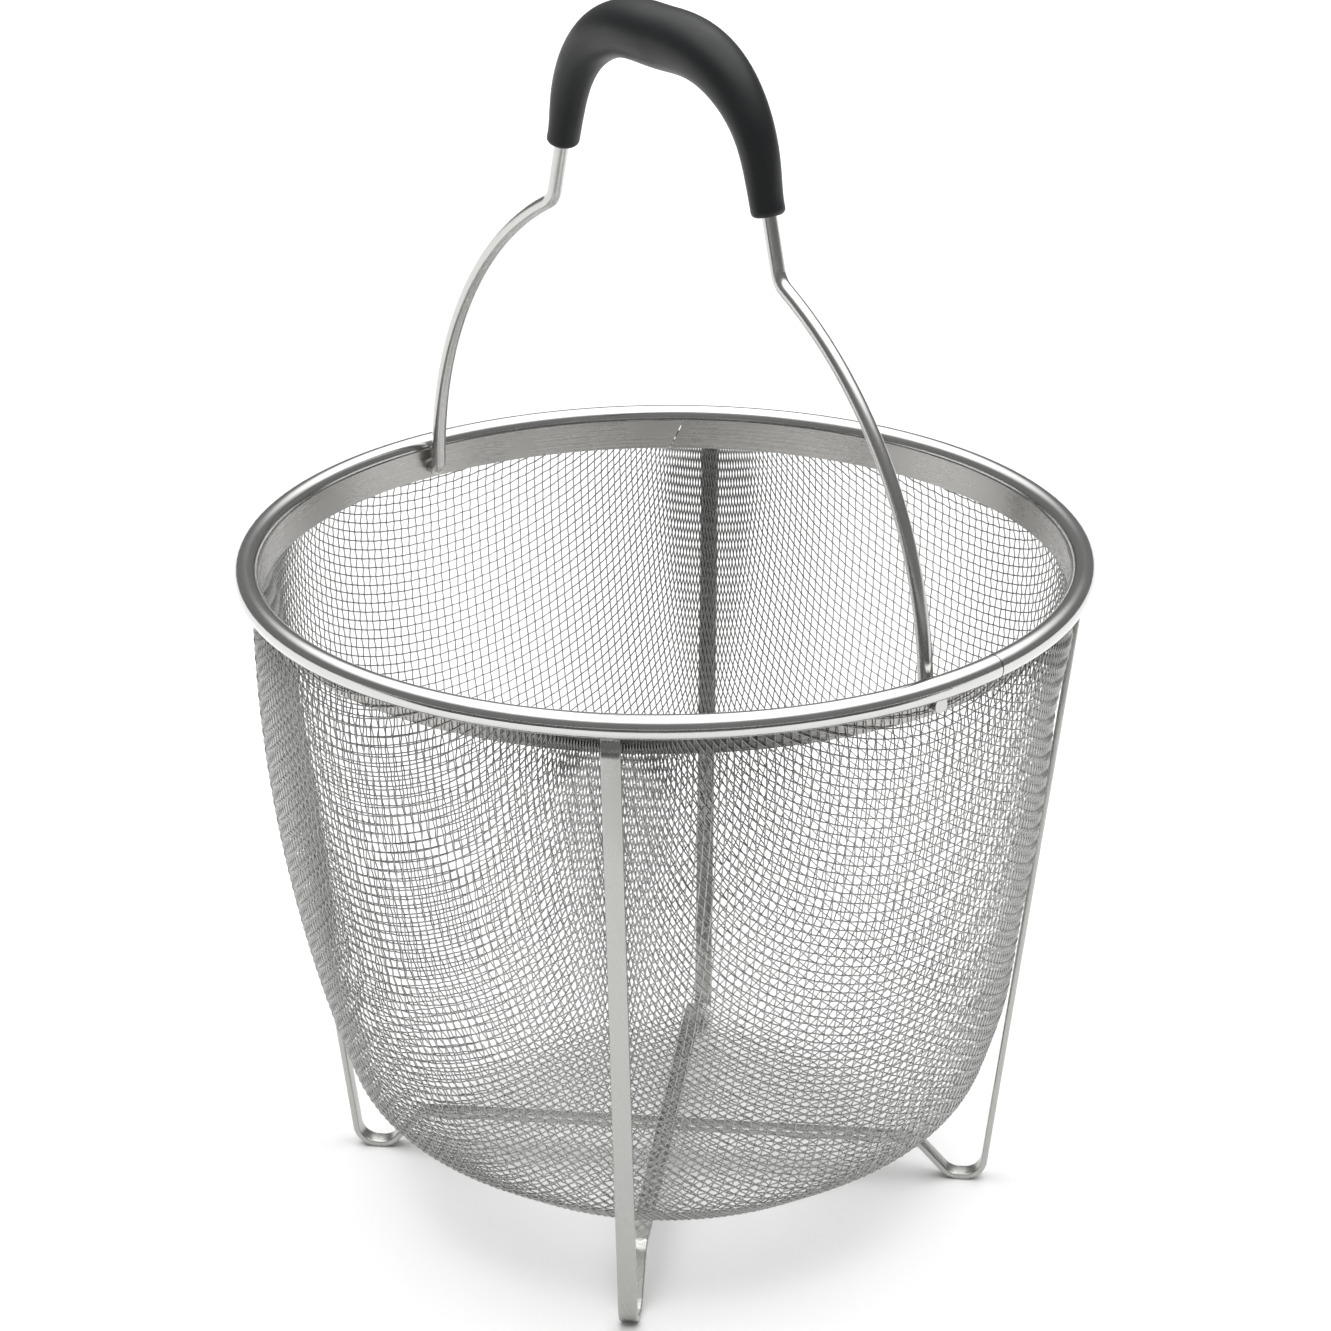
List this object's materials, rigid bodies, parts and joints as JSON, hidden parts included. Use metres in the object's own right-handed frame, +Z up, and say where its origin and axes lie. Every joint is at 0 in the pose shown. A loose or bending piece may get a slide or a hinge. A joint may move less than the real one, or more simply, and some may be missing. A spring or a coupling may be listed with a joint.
{
  "type": "basket strainer",
  "caption": "Wire-mesh basket strainer with a rolled rim, bent strip legs and a folding bail handle with a soft grip.",
  "frame": {"origin": "on the floor under the centre of the rim, where the feet stand", "axes": "+Z up along the rim's axis; X along the bail handle's pivot axis; the legs stand at 45 degrees to X"},
  "size_m": [0.216, 0.216, 0.3145],
  "materials": {
    "polished_steel": "polished stainless steel",
    "satin_steel": "satin stainless steel with fine circumferential lines",
    "mesh_wire": "bright stainless steel wire",
    "leg_steel": "satin stainless steel strip",
    "handle_steel": "drawn stainless steel wire",
    "grip_silicone": "matte black silicone"
  },
  "bodies": {
    "basket": {"rim_bead": "polished_steel", "rim_band": "satin_steel", "mesh_basket": "mesh_wire", "leg_strip_under": "leg_steel", "leg_strip_over": "leg_steel"},
    "handle": {"handle_wire": "handle_steel", "handle_grip": "grip_silicone"}
  },
  "joints": [
    {"name": "handle_pivot", "type": "hinge", "parent": "basket", "child": "handle", "pos_m": [0, 0, 0.1685], "axis": [1, 0, 0], "range_deg": [-83.5, 83.5]}
  ]
}
